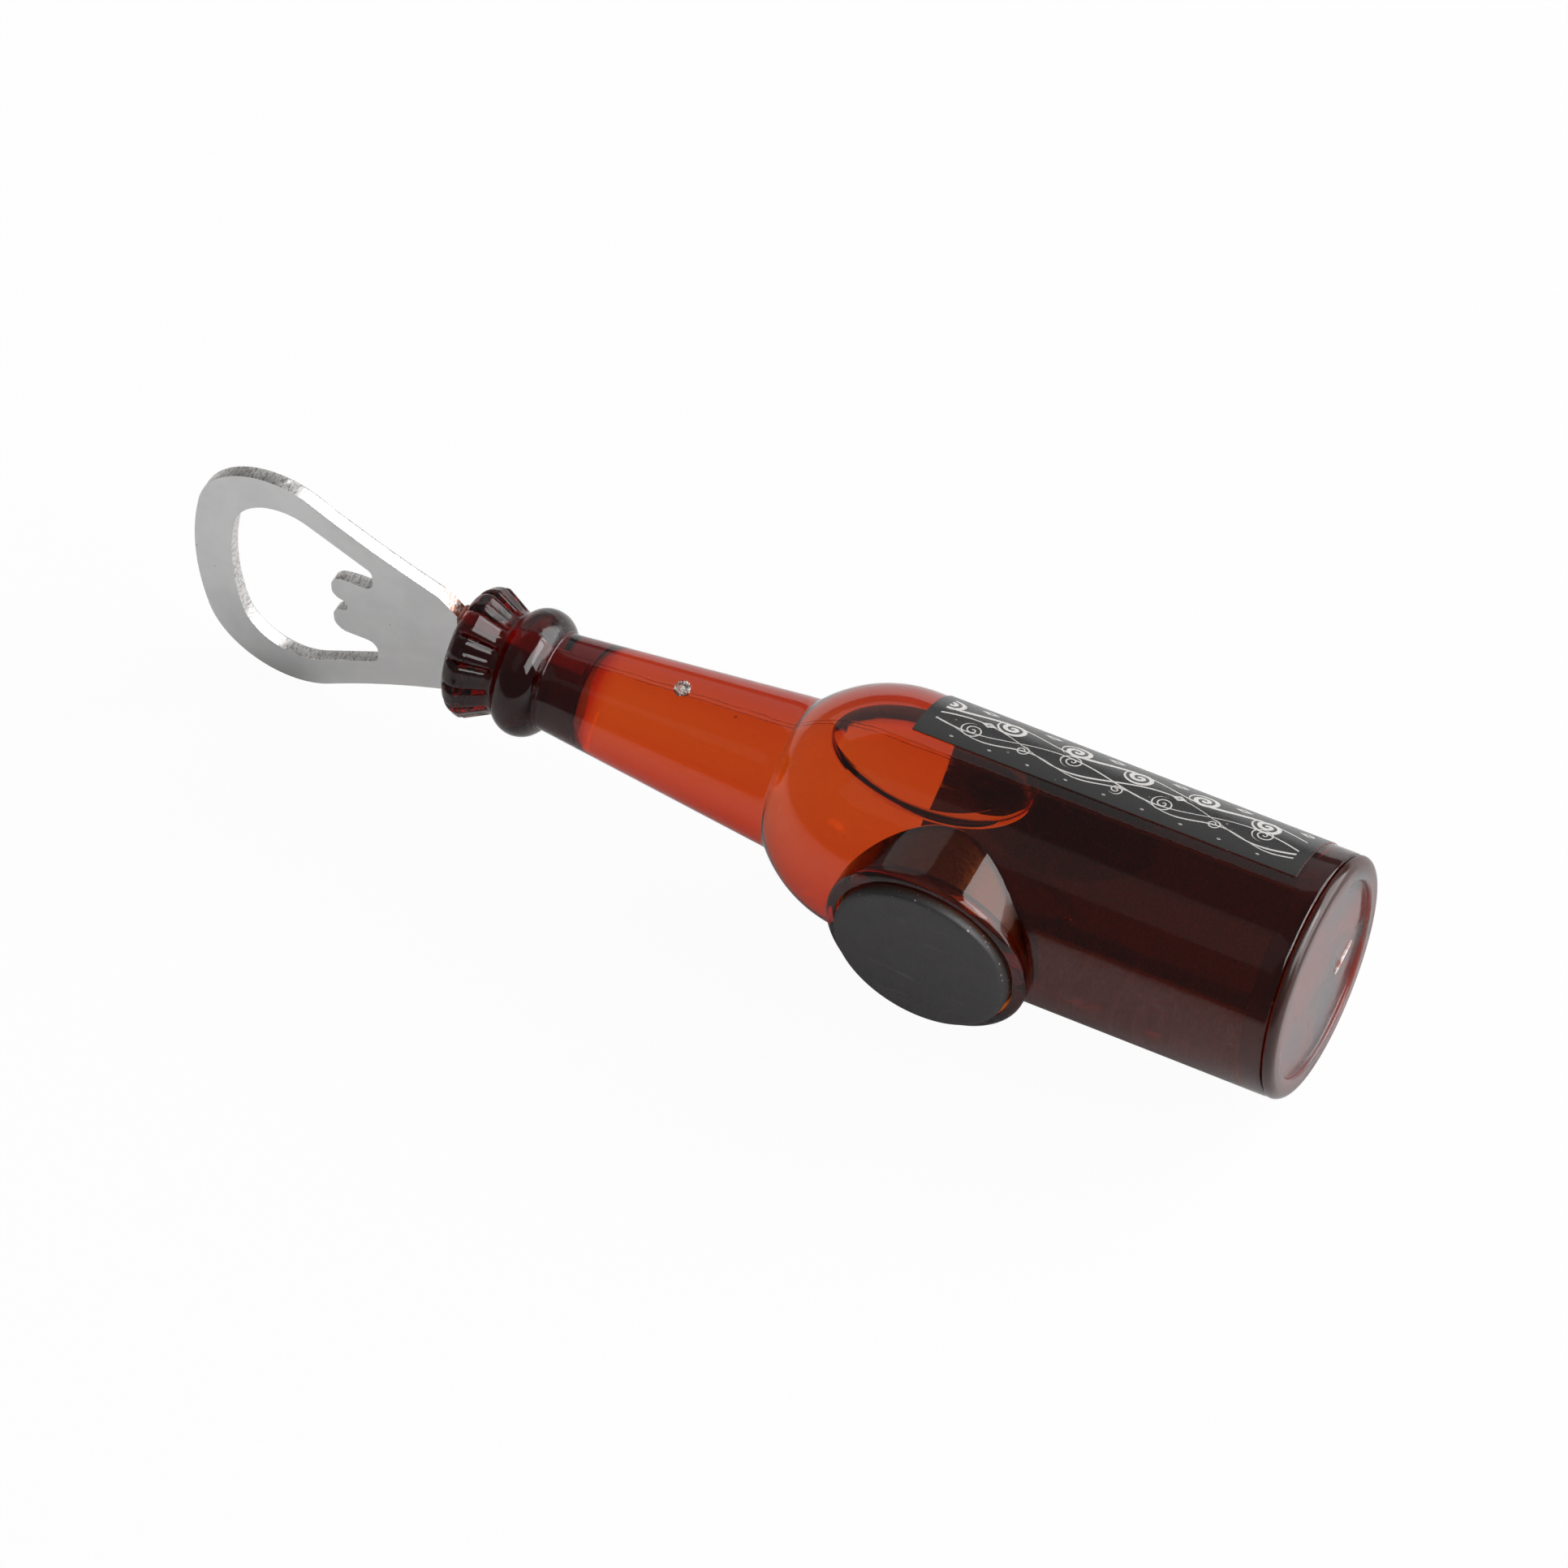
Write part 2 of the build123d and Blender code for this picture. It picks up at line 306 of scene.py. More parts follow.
def bore_outline(start, spare):
    """Inside of the bottle from a distance onwards, with its walls moved out by a spare amount."""
    outline = [(start, BORE_RADIUS + spare)]
    outline += run(outline[-1], (SHOULDER_START, BORE_RADIUS + spare), 36)
    outline += shoulder(WALL, spare)
    outline += run(outline[-1], (73.4, 4.35 + spare), 16)
    outline += [(place, radius + spare) for place, radius in ((74.2, 4.15), (74.75, 3.8), (75.05, 3.3))]
    return outline + [(BORE_END + spare, 2.4), (BORE_END + spare, 0.6)]


def magnet_boss():
    """Round cup for the magnet, before its pocket is cut."""
    root, edge_start = (BOSS_ROOT, BOSS_RADIUS), (BOSS_RIM + BOSS_EDGE, BOSS_RADIUS)
    edge = arc((edge_start[0], BOSS_RADIUS - BOSS_EDGE), BOSS_EDGE, 90, 180, 8)
    outline = [root] + run(root, edge_start, 18) + edge[1:] + [(BOSS_RIM, 9.0)]
    return turned("boss", outline, across_bottle=True)


def body_core(radius):
    """Round core on the bottle's axis that the pocket and its glue stop at."""
    return turned("body_core", [(place, radius) for place in CORE_SPAN])


def amber_bottle():
    """The bottle's one moulding: body, neck, bead, fluted cap and boss, with its bore and its pocket."""
    bottle = turned("amber_bottle", body_outline())
    flute_cap(bottle)
    combine(bottle, magnet_boss(), "UNION")
    combine(bottle, turned("bore", bore_outline(-1.0, 0)), "DIFFERENCE")
    wide = POCKET_RADIUS + POCKET_WIDENING
    step_top, step_foot = POCKET_STEP
    outline = [(-0.5, POCKET_RADIUS), (step_top, POCKET_RADIUS), (step_foot, wide), (POCKET_DEPTH, wide)]
    pocket = turned("pocket", outline, across_bottle=True)
    combine(pocket, body_core(CORE_RADIUS), "DIFFERENCE")
    combine(bottle, pocket, "DIFFERENCE")
    open_all(bottle)
    bpy.ops.mesh.remove_doubles(threshold=WELD_WITHIN)
    bpy.ops.object.mode_set(mode="OBJECT")
    return settle(bottle, "amber_bottle", 30)


def air_bubble():
    """Flat bubble that hangs under the top of the bore: steep round sides and a level underside."""
    bpy.ops.object.select_all(action="DESELECT")
    bpy.ops.mesh.primitive_uv_sphere_add(segments=96, ring_count=64, radius=1,
                                         location=on_bottle(BUBBLE_DISTANCE, 0, BUBBLE_HEIGHT))
    bubble = bpy.context.object
    bubble.scale = [size * MM for size in BUBBLE_HALF_SIZES]
    bpy.ops.object.transform_apply(location=True, rotation=True, scale=True)
    open_all(bubble)
    bpy.ops.mesh.bisect(plane_co=(0, 0, BUBBLE_LEVEL * MM), plane_no=(0, 0, -1), use_fill=True,
                        clear_outer=True)
    bpy.ops.object.mode_set(mode="OBJECT")
    round_edges(bubble, BUBBLE_RIM, 8, 40)
    return settle(bubble, "bubble")


def clear_filling():
    """Liquid in the bottle, reaching just into its walls, with the air bubble taken out."""
    filling = turned("clear_filling", bore_outline(LIQUID_START, LIQUID_OVERLAP))
    combine(filling, air_bubble(), "DIFFERENCE")
    return settle(filling, "clear_filling", 40)


def foot_plug():
    """Base plug with its rounded rim and shallow recess."""
    spigot_edge = (2.38, SPIGOT_RADIUS)
    outline = [(2.5, 10.7), spigot_edge] + run(spigot_edge, (0.02, SPIGOT_RADIUS), 3)
    outline += [(0.01, 10.95), (0.01, 11.6), (-0.04, 11.8), (-0.12, 11.93), (-0.2, BODY_RADIUS - 0.01)]
    outline += arc((FOOT_FACE + FOOT_ROUND, BODY_RADIUS - FOOT_ROUND), FOOT_ROUND, 90, 180, 12)[1:]
    edge_centre = (FOOT_FACE + RECESS_EDGE, RECESS_RADIUS + RECESS_EDGE)
    outline += [(FOOT_FACE, 10.1)] + arc(edge_centre, RECESS_EDGE, 180, 270, 5)
    outline += [(-0.7, 9.79), (-0.6, 9.72), (-0.56, 9.55), (RECESS_FLOOR, 9.2), (RECESS_FLOOR, 6.0)]
    return turned("foot_plug", outline + [(RECESS_FLOOR + 0.01, 3.0), (RECESS_FLOOR + 0.01, 0.6)])


def ferrite_disc():
    """Magnet with a worn outer edge."""
    outline = [(2.4, 8.7), (2.3, 8.88)] + run((2.3, 8.9), (0.4, 8.89), 4)
    outline += [(0.24, 8.83), (0.11, 8.7), (0.03, 8.5), (0.0, 8.2), (0.0, 6.0), (0.0, 3.0), (0.0, 0.6)]
    return turned("ferrite_disc", outline, across_bottle=True)


def magnet_bed():
    """Glue that fills the pocket behind the magnet and rises a little round its side; its dark colour is
    partly painted shade.
    """
    narrow = POCKET_RADIUS + GLUE_OVERLAP
    wide = narrow + POCKET_WIDENING
    floor = POCKET_DEPTH + GLUE_OVERLAP
    step_top, step_foot = [depth - GLUE_OVERLAP for depth in POCKET_STEP]
    outline = [(floor, 8.0), (floor, wide), (step_foot, wide), (step_top, narrow)]
    outline += [(2.42, narrow), (2.32, 9.12), (2.28, 9.03), (2.31, 8.93), (2.35, 8.88), (2.41, 8.88)]
    bed = turned("magnet_bed", outline, across_bottle=True)
    combine(bed, body_core(CORE_RADIUS - GLUE_OVERLAP), "DIFFERENCE")
    return settle(bed, "magnet_bed")


def gate_mark(name, spot, radius, on_foot=False):
    """Rough stub that is left where the moulding was snipped from its gate. On the foot it is drawn out
    into a bar and turned to face along the bottle."""
    place = on_bottle(*spot)
    bpy.ops.object.select_all(action="DESELECT")
    bpy.ops.mesh.primitive_cylinder_add(vertices=24, radius=radius * MM, depth=STUB_HEIGHT * MM,
                                        location=place)
    stub = bpy.context.object
    bpy.ops.object.transform_apply(location=True, rotation=True, scale=True)
    bpy.ops.object.mode_set(mode="EDIT")
    pick("FACE", lambda face: face.normal.z > 0.9)
    for share, sink in ((0.3, 0), (0.15, 0.18), (0.2, 0)):
        bpy.ops.mesh.inset(thickness=share * radius * MM, depth=-sink * MM)
    bpy.ops.mesh.select_all(action="SELECT")
    bpy.ops.mesh.subdivide(number_cuts=2)
    stretch = FOOT_GATE_STRETCH if on_foot else 1
    bpy.ops.transform.resize(value=(1, stretch, 1), center_override=place)
    bpy.ops.transform.vertex_random(offset=0.2 * radius * MM, seed=STUB_SEED)
    if on_foot:
        for turn, axis in ((90, "Y"), (FOOT_GATE_TILT, "X")):
            bpy.ops.transform.rotate(value=radians(turn), orient_axis=axis, center_override=place)
    bpy.ops.object.mode_set(mode="OBJECT")
    return settle(stub, name, 60)


def opener_ring():
    """Steel blade: a merged copy of its solid, its edges broken as by tumbling, its faces flat."""
    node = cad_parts["opener_blade"]
    blade = node.copy()
    blade.data = node.data.copy()
    bpy.context.collection.objects.link(blade)
    open_all(blade)
    bpy.ops.mesh.remove_doubles(threshold=WELD_WITHIN)
    bpy.ops.mesh.dissolve_limited(angle_limit=radians(1))
    bpy.ops.object.mode_set(mode="OBJECT")
    round_edges(blade, BLADE_EDGE, 2, 50)
    settle(blade, "opener_ring", 40)
    bpy.ops.object.mode_set(mode="EDIT")
    pick("FACE", lambda face: abs(face.normal.y) > 0.9999)
    bpy.ops.mesh.faces_shade_flat()
    bpy.ops.object.mode_set(mode="OBJECT")
    return blade


def glue_block(start, end, size, rounding, taper=1.0):
    """Rounded block round the blade, between two distances; its size is its thickness and its width,
    and the taper is the share of that width that it has where it starts."""
    thickness, width = size
    bpy.ops.object.select_all(action="DESELECT")
    bpy.ops.mesh.primitive_cube_add(size=1, location=(along((start + end) / 2), blade_y, 0))
    block = bpy.context.object
    block.scale = ((end - start) * MM, thickness * MM, width * MM)
    bpy.ops.object.transform_apply(location=True, rotation=True, scale=True)
    bpy.ops.object.mode_set(mode="EDIT")
    pick("VERT", lambda vertex: vertex.co.x > along((start + end) / 2))
    bpy.ops.transform.resize(value=(1, 1, taper), center_override=(along(start), blade_y, 0))
    bpy.ops.object.mode_set(mode="OBJECT")
    round_edges(block, rounding, 5)
    return block


def tang_bed():
    """Glue: a thin skin round the tang, with a small round bead where the shank enters the cap's end."""
    skin = glue_block(TANG_START, CAP_END + 0.05, TANG_GLUE_SIZE, 0.2, TANG_GLUE_TAPER)
    combine(skin, glue_block(*BEAD_OF_GLUE, BEAD_OF_GLUE_SIZE, 0.4), "UNION")
    return settle(skin, "tang_bed", 60)


def wrap_label():
    """Printed wrap: a band of the body's round, cut to its angles and given its thickness."""
    bpy.ops.object.select_all(action="DESELECT")
    bpy.ops.mesh.primitive_circle_add(vertices=360, radius=WRAP_INSIDE * MM, fill_type="NOTHING",
                                      location=on_bottle(WRAP_START, 0, 0), rotation=(0, pi / 2, 0))
    wrap = bpy.context.object
    bpy.ops.object.transform_apply(location=True, rotation=True, scale=True)
    bpy.ops.object.mode_set(mode="EDIT")
    row = -WRAP_LENGTH / WRAP_ROWS * MM
    for _ in range(WRAP_ROWS):
        bpy.ops.mesh.extrude_edges_move(TRANSFORM_OT_translate={"value": (row, 0, 0)})
    # The near side is left bare, so the wrap ends a little short of the top and of the bottom.
    first, last = WRAP_ANGLES
    pick("VERT", lambda vertex: not first < degrees(atan2(vertex.co.z, vertex.co.y - axis_y)) < last)
    bpy.ops.mesh.delete(type="VERT")
    bpy.ops.mesh.select_all(action="SELECT")
    bpy.ops.mesh.normals_make_consistent(inside=False)
    bpy.ops.object.mode_set(mode="OBJECT")
    face = wrap.data.polygons[0]
    if face.normal.dot(face.center - Vector((face.center.x, axis_y, 0))) < 0:
        wrap.data.flip_normals()
    wall = wrap.modifiers.new("thickness", "SOLIDIFY")
    wall.thickness = WRAP_THICKNESS * MM
    wall.offset = 1
    wall.use_even_offset = True
    bpy.ops.object.modifier_apply(modifier=wall.name)
    return settle(wrap, "wrap_label")


# Camera

scene = bpy.context.scene
lens = bpy.data.cameras.new("camera")
lens.lens = 223.6
lens.sensor_width = 36
lens.clip_start = 0.01
camera = bpy.data.objects.new("camera", lens)
scene.collection.objects.link(camera)
camera_place = (0.24142, -0.47862, 0.72256)
right, up, back = (0.8927, 0.4504, -0.0170), (-0.3475, 0.7119, 0.6103), (0.2870, -0.5389, 0.7920)
camera_turn = Matrix((right, up, back)).transposed().to_4x4()
camera.matrix_world = Matrix.Translation(camera_place) @ camera_turn
scene.camera = camera

# Node groups and materials. Places are in metres, so a pattern's scale counts per metre.

DUST_COLOUR = (0.85, 0.8, 0.76)
AMBER_TINT = (0.908, 0.512, 0.04, 1)


def fill_inputs(tree, item, values):
    """Puts a value, or a link from another node's output, into each named input."""
    for key, value in values.items():
        if isinstance(value, bpy.types.NodeSocket):
            tree.links.new(value, item.inputs[key])
        else:
            item.inputs[key].default_value = value


def add_node(tree, kind, values=None, **settings):
    """Adds a node, with its settings, and with values or other nodes' outputs in its inputs."""
    item = tree.nodes.new(kind)
    for key, value in settings.items():
        setattr(item, key, value)
    fill_inputs(tree, item, values or {})
    return item


def sums(tree, operation, *values, clamp=False):
    """One step of arithmetic on numbers or outputs."""
    return add_node(tree, "ShaderNodeMath", dict(enumerate(values)), operation=operation,
                    use_clamp=clamp).outputs[0]


def plus(tree, first, *others):
    """Numbers or outputs added up."""
    for other in others:
        first = sums(tree, "ADD", first, other)
    return first


def minus(tree, first, second):
    """The second number or output taken from the first."""
    return sums(tree, "SUBTRACT", first, second)


def times(tree, first, *others):
    """Numbers or outputs multiplied together."""
    for other in others:
        first = sums(tree, "MULTIPLY", first, other)
    return first


def gap(tree, first, second):
    """Distance between two numbers or outputs."""
    return sums(tree, "ABSOLUTE", minus(tree, first, second))


def reach(tree, first, second):
    """Length of the two sides of a right angle taken together: a distance from an axis or a point."""
    return sums(tree, "SQRT", plus(tree, times(tree, first, first), times(tree, second, second)))


def ramp(tree, value, start, end, low=0.0, high=1.0):
    """Spreads a value smoothly from one range to another."""
    return add_node(tree, "ShaderNodeMapRange", {"Value": value, "From Min": start, "From Max": end,
                                                 "To Min": low, "To Max": high},
                    interpolation_type="SMOOTHSTEP").outputs[0]


def blend_colours(tree, factor, first, second):
    """Mixes two colours."""
    item = add_node(tree, "ShaderNodeMix", {0: factor}, data_type="RGBA")
    colours = [value if isinstance(value, bpy.types.NodeSocket) else (*value, 1) for value in (first, second)]
    fill_inputs(tree, item, {6: colours[0], 7: colours[1]})
    return item.outputs[2]


def stained(tree, colour, mask, share, stain):
    """A colour with a share of a stain in it where a mask says so."""
    return blend_colours(tree, times(tree, mask, share), colour, stain)


def noise(tree, place, scale, detail=2.0, roughness=0.5, distortion=0.0):
    """Soft noise in a place, at a scale per metre."""
    return add_node(tree, "ShaderNodeTexNoise", {"Vector": place, "Scale": scale, "Detail": detail,
                                                 "Roughness": roughness, "Distortion": distortion}).outputs[0]


def new_group(name, vector_inputs, number_inputs, outputs):
    """Node group with named inputs, vectors first and then numbers, and number outputs."""
    group = bpy.data.node_groups.new(name, "ShaderNodeTree")
    for labels, kind in ((vector_inputs, "NodeSocketVector"), (number_inputs, "NodeSocketFloat")):
        for label in labels:
            group.interface.new_socket(label, in_out="INPUT", socket_type=kind)
    for label in outputs:
        group.interface.new_socket(label, in_out="OUTPUT", socket_type="NodeSocketFloat")
    return group, group.nodes.new("NodeGroupInput").outputs, group.nodes.new("NodeGroupOutput").inputs


def speck_group():
    """Sparse round specks: dust, pits, motes and painted glints, by scale, by the share that is kept and by
    size.
    """
    group, given, result = new_group("specks", ["Place"], ["Scale", "Share", "Size"], ["Mask"])
    cells = add_node(group, "ShaderNodeTexVoronoi", {"Vector": given["Place"], "Scale": given["Scale"]})
    chance = add_node(group, "ShaderNodeSeparateColor", {0: cells.outputs["Color"]})
    kept = sums(group, "LESS_THAN", chance.outputs[0], given["Share"])
    size = times(group, given["Size"], plus(group, chance.outputs[1], 0.4))
    near = sums(group, "SUBTRACT", 1.0, sums(group, "DIVIDE", cells.outputs["Distance"], size), clamp=True)
    group.links.new(times(group, kept, ramp(group, near, 0.0, 0.5)), result["Mask"])
    return group


def grain_group():
    """Uneven surface in two sizes: broad waves for the colour, fine grain for gloss and height."""
    group, given, result = new_group("grain", ["Place"], ["Scale"], ["Broad", "Fine"])
    group.links.new(noise(group, given["Place"], given["Scale"], 3.0, 0.6), result["Broad"])
    fine_scale = times(group, given["Scale"], 12.0)
    group.links.new(noise(group, given["Place"], fine_scale, 4.0, 0.7), result["Fine"])
    return group


def scratch_group():
    """Fine scratches that run mainly one way: long thin noise, cut to its crests."""
    group, given, result = new_group("scratches", ["Place"], ["Scale", "Share"], ["Mask"])
    bent = add_node(group, "ShaderNodeMapping", {"Vector": given["Place"], "Rotation": (0.3, 0.5, 0.6),
                                                 "Scale": (0.06, 1.0, 1.0)}).outputs[0]
    lines = noise(group, bent, given["Scale"], 2.0, 0.4, 0.3)
    thin = ramp(group, gap(group, lines, 0.5), 0.0, times(group, given["Share"], 0.02), 1.0, 0.0)
    patches = ramp(group, noise(group, given["Place"], times(group, given["Scale"], 0.4)), 0.5, 0.62)
    group.links.new(times(group, thin, patches), result["Mask"])
    return group


def scrollwork_group():
    """Printed ornament in the wrap's own millimetres: running scrolls by its long edges and a medallion."""
    group, given, result = new_group("scrollwork", [], ["Across", "Along"], ["Ink"])
    across, lengthways = given["Across"], given["Along"]
    inset = minus(group, 17.0, sums(group, "ABSOLUTE", across))

    def stroke(distance, width):
        """Ink where a distance is below a width, with a soft edge."""
        return ramp(group, distance, width, plus(group, width, 0.05), 1.0, 0.0)

    def steps(period, shift):
        """Distance along the wrap, counted in periods."""
        return sums(group, "DIVIDE", plus(group, lengthways, shift), period)

    def vine(middle_line, swing, period, shift, thin, thick):
        """Waving stem that swells and thins."""
        turn = times(group, plus(group, lengthways, shift), 2 * pi / period)
        wave = plus(group, middle_line, times(group, sums(group, "SINE", turn), swing))
        width = ramp(group, sums(group, "COSINE", turn), -1.0, 1.0, thin, thick)
        return stroke(gap(group, inset, wave), width)

    def curls(middle_line, offset, period, shift, radius, pitch, width):
        """Spiral curls in a row, each second one on the vine's other side and wound the other way."""
        count = steps(period, shift)
        cell = times(group, minus(group, sums(group, "FRACT", count), 0.5), period)
        second = sums(group, "FLOORED_MODULO", sums(group, "FLOOR", count), 2.0)
        side = minus(group, times(group, second, 2.0), 1.0)
        rise = minus(group, times(group, minus(group, inset, middle_line), side), offset)
        from_middle = reach(group, cell, rise)
        wound = times(group, sums(group, "ARCTAN2", rise, cell), pitch / (2 * pi))
        arms = sums(group, "FLOORED_MODULO", minus(group, from_middle, wound), pitch)
        return times(group, stroke(gap(group, arms, pitch / 2), width), stroke(from_middle, radius))

    def lozenges(middle_line, period, shift, half_width, half_length):
        """Hollow lozenges in a row."""
        cell = times(group, gap(group, sums(group, "FRACT", steps(period, shift)), 0.5), period / half_length)
        size = plus(group, cell, sums(group, "DIVIDE", gap(group, inset, middle_line), half_width))
        return minus(group, stroke(size, 1.0), stroke(size, 0.45))

    # The medallion is 7 mm by 14 mm from its middle, with a ring of beads and a rayed heart.
    oval = reach(group, sums(group, "DIVIDE", across, 7.0), sums(group, "DIVIDE", lengthways, 14.0))
    rays_round = sums(group, "SINE", times(group, sums(group, "ARCTAN2", across, lengthways), 24.0))
    parts = [
        vine(3.3, 1.35, 19.5, 0.0, 0.03, 0.1),
        vine(3.3, -1.05, 19.5, 0.8, 0.03, 0.07),
        vine(2.1, 0.5, 9.75, 1.2, 0.02, 0.06),
        vine(5.9, 0.7, 13.0, 2.0, 0.06, 0.2),
        curls(3.3, 0.55, 9.75, 0.0, 1.15, 0.55, 0.045),
        curls(2.4, 0.2, 9.75, 4.6, 0.7, 0.42, 0.04),
        curls(5.9, 0.2, 6.5, 2.0, 1.5, 0.8, 0.2),
        lozenges(4.6, 19.5, 4.0, 0.5, 0.75),
        lozenges(7.7, 6.5, 5.0, 0.5, 0.9),
        lozenges(0.9, 3.9, 2.3, 0.12, 0.22),
        stroke(gap(group, oval, 1.0), 0.01),
        stroke(gap(group, oval, 0.9), 0.004),
        stroke(gap(group, oval, 0.5), 0.008),
        times(group, stroke(gap(group, oval, 0.8), 0.03), ramp(group, rays_round, 0.1, 0.3)),
        times(group, stroke(oval, 0.42), ramp(group, rays_round, 0.55, 0.75)),
    ]
    ink = parts[0]
    for part in parts[1:]:
        ink = sums(group, "MAXIMUM", ink, part)
    group.links.new(ink, result["Ink"])
    return group


specks = speck_group()
grain = grain_group()
scratches = scratch_group()
scrollwork = scrollwork_group()


def placed(tree, group, **values):
    """Puts a node group into a material, with its own values, and gives its outputs."""
    item = add_node(tree, "ShaderNodeGroup", node_tree=group)
    fill_inputs(tree, item, values)
    return item.outputs


def new_material(name, **values):
    """Material whose shader gets its constant values; gives its tree, shader and object place."""
    material = bpy.data.materials.new(name)
    material.use_nodes = True
    tree = material.node_tree
    shader = tree.nodes["Principled BSDF"]
    for key, value in values.items():
        shader.inputs[key.replace("_", " ")].default_value = value
    return material, tree, shader, add_node(tree, "ShaderNodeTexCoord").outputs["Object"]


def feed(tree, shader, **values):
    """Links worked-out colours and values into the shader."""
    for key, value in values.items():
        tree.links.new(value, shader.inputs[key.replace("_", " ")])


def split(tree, vector):
    """The three sides of a place or a direction."""
    return add_node(tree, "ShaderNodeSeparateXYZ", {0: vector}).outputs


def raised(tree, height, strength, distance):
    """Normal bent by a height."""
    return add_node(tree, "ShaderNodeBump", {"Height": height, "Strength": strength,
                                             "Distance": distance}).outputs[0]


def tint_through(tree, density):
    """Amber that deepens with the thickness of plastic that light passes."""
    absorb = add_node(tree, "ShaderNodeVolumeAbsorption", {"Color": AMBER_TINT, "Density": density})
    tree.links.new(absorb.outputs[0], tree.nodes["Material Output"].inputs["Volume"])


def amber_plastic():
    """Clear amber moulding: tinted walls, faint moulding waves, a parting line, dust and rubs."""
    material, tree, shader, place = new_material("amber_plastic", Transmission_Weight=1.0, IOR=1.5)
    uneven = placed(tree, grain, Place=place, Scale=260.0)
    dust = placed(tree, specks, Place=place, Scale=900.0, Share=0.03, Size=0.16)["Mask"]
    rubs = placed(tree, scratches, Place=place, Scale=900.0, Share=1.0)["Mask"]
    x, y, z = split(tree, place)
    # The parting line runs along the top, a little uneven, and stands up as flash on the cap.
    off_parting = minus(tree, y, axis_y)
    wander = times(tree, minus(tree, noise(tree, place, 500.0, 3.0), 0.5), 0.35 * MM)
    from_line = sums(tree, "ABSOLUTE", plus(tree, off_parting, wander))
    seam = times(tree, ramp(tree, from_line, 0.03 * MM, 0.08 * MM, 1.0, 0.0), ramp(tree, z, 3 * MM, 4 * MM),
                 ramp(tree, noise(tree, place, 700.0), 0.3, 0.5, 0.35, 1.0))
    on_cap = ramp(tree, x, along(79.0), along(80.0))
    flash = times(tree, on_cap, ramp(tree, from_line, 0.1 * MM, 0.3 * MM, 1.0, 0.0),
                  times(tree, noise(tree, place, 2600.0, 3.0, 0.7), 9.0))
    # The mould's back half left the cap and the bead duller than its front half.
    dull = times(tree, ramp(tree, x, along(78.0), along(78.6)), ramp(tree, off_parting, 0.0, 0.2 * MM))
    rough = plus(tree, ramp(tree, uneven["Fine"], 0.35, 0.75, 0.015, 0.06),
                 times(tree, plus(tree, rubs, dust), 0.2),
                 times(tree, dull, ramp(tree, uneven["Broad"], 0.4, 0.65, 0.03, 0.22)))
    height = plus(tree, uneven["Broad"], times(tree, dull, uneven["Fine"]), times(tree, seam, 1.5), flash)
    colour = blend_colours(tree, uneven["Broad"], (1.0, 0.96, 0.9), (1.0, 0.985, 0.96))
    colour = blend_colours(tree, seam, colour, (0.3, 0.2, 0.17))
    colour = stained(tree, colour, dust, 0.7, DUST_COLOUR)
    feed(tree, shader, Base_Color=colour, Roughness=rough, Normal=raised(tree, height, 0.1, 0.1 * MM))
    tint_through(tree, 2600.0)
    return material


def clouded_amber():
    """Amber of the base plug: pinkish, with paler patches that are partly cloudiness and partly a painted
    reflection, darker at its rim.
    """
    material, tree, shader, place = new_material("clouded_amber", Transmission_Weight=0.84, IOR=1.5)
    uneven = placed(tree, grain, Place=place, Scale=300.0)
    dust = placed(tree, specks, Place=place, Scale=900.0, Share=0.05, Size=0.18)["Mask"]
    cloud_and_reflection = noise(tree, place, 110.0, 2.0, 0.5, 0.3)
    _, y, z = split(tree, place)
    at_rim = ramp(tree, reach(tree, minus(tree, y, axis_y), z), 9.8 * MM, 11.2 * MM)
    # Painted reflection: the pink and the pale grey-blue patches stand partly for what the recess reflects.
    colour = blend_colours(tree, ramp(tree, cloud_and_reflection, 0.35, 0.7), (0.72, 0.22, 0.2), (0.5, 0.5, 0.53))
    colour = blend_colours(tree, at_rim, colour, (0.22, 0.07, 0.055))
    colour = stained(tree, colour, dust, 0.7, DUST_COLOUR)
    rough = plus(tree, ramp(tree, cloud_and_reflection, 0.3, 0.7, 0.1, 0.3), times(tree, dust, 0.2))
    feed(tree, shader, Base_Color=colour, Roughness=rough,
         Normal=raised(tree, uneven["Broad"], 0.12, 0.15 * MM))
    tint_through(tree, 2000.0)
    return material


def still_liquid():
    """Clear liquid, with a few motes."""
    material, tree, shader, place = new_material("still_liquid", Transmission_Weight=1.0, IOR=1.33,
                                                 Roughness=0.0)
    motes = placed(tree, specks, Place=place, Scale=700.0, Share=0.01, Size=0.14)["Mask"]
    feed(tree, shader, Base_Color=blend_colours(tree, motes, (1.0, 1.0, 1.0), (0.3, 0.28, 0.26)))
    return material


